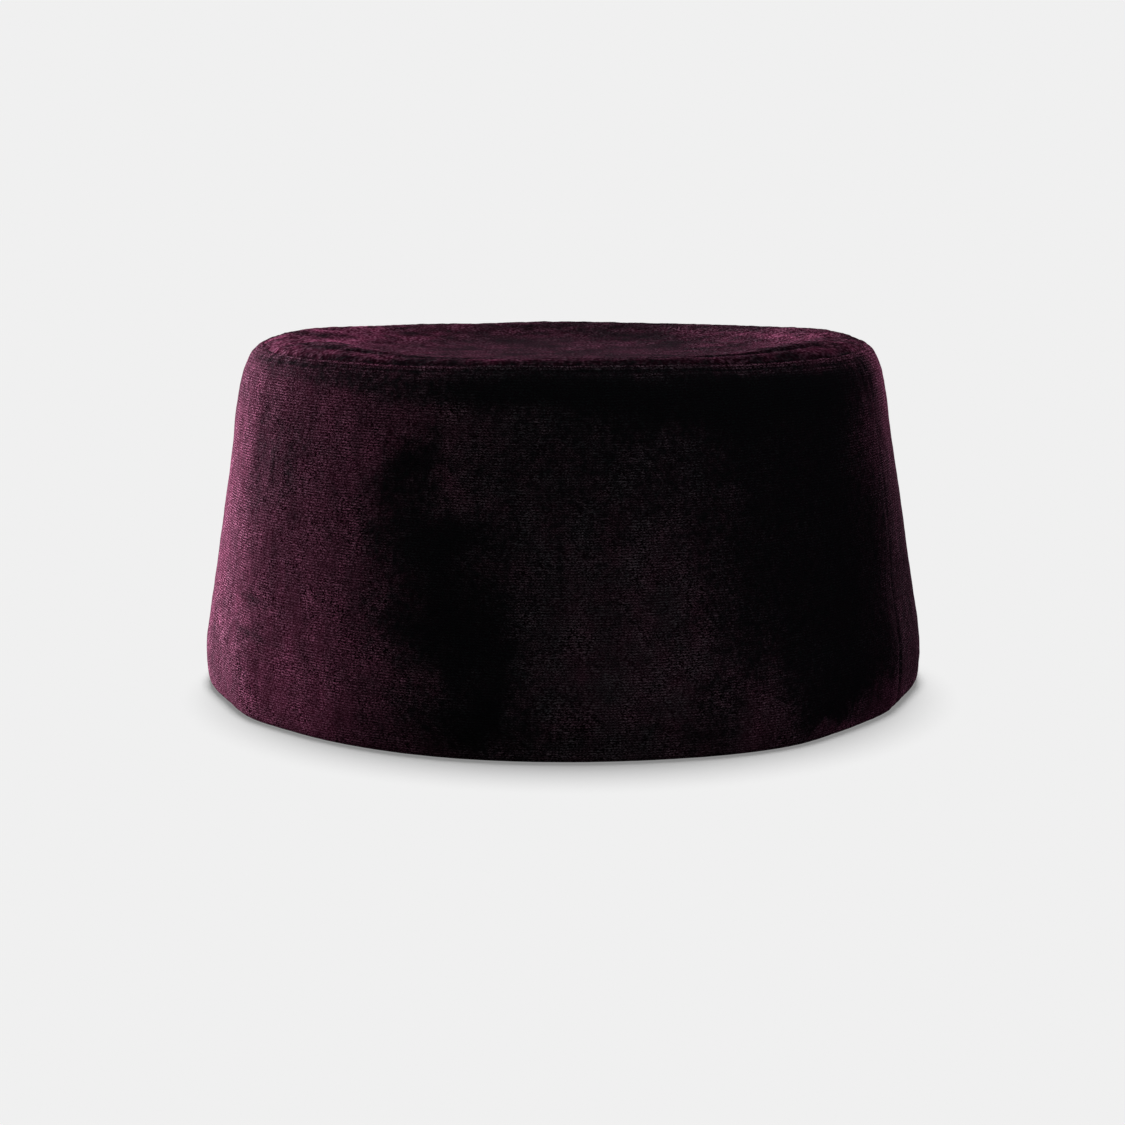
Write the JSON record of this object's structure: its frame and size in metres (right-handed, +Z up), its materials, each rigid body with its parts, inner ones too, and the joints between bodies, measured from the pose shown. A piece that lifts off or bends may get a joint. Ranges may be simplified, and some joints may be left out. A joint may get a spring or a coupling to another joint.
{
  "type": "pillbox hat",
  "caption": "Soft velvet pillbox hat: an oval side band that widens towards its hem, and a shallow dished crown tip sewn into its top edge.",
  "frame": {"origin": "on the resting plane under the hem, in the middle of the oval", "axes": "+Z up through the crown tip, -Y towards the hat's front, +X towards the side with the band's closing seam"},
  "size_m": [0.184, 0.1972, 0.089],
  "materials": {
    "band_velvet": "plum pile velvet, crushed in patches",
    "tip_velvet": "plum pile velvet, crushed in patches"
  },
  "bodies": {
    "root": {"side_band": "band_velvet", "crown_tip": "tip_velvet"}
  },
  "joints": []
}
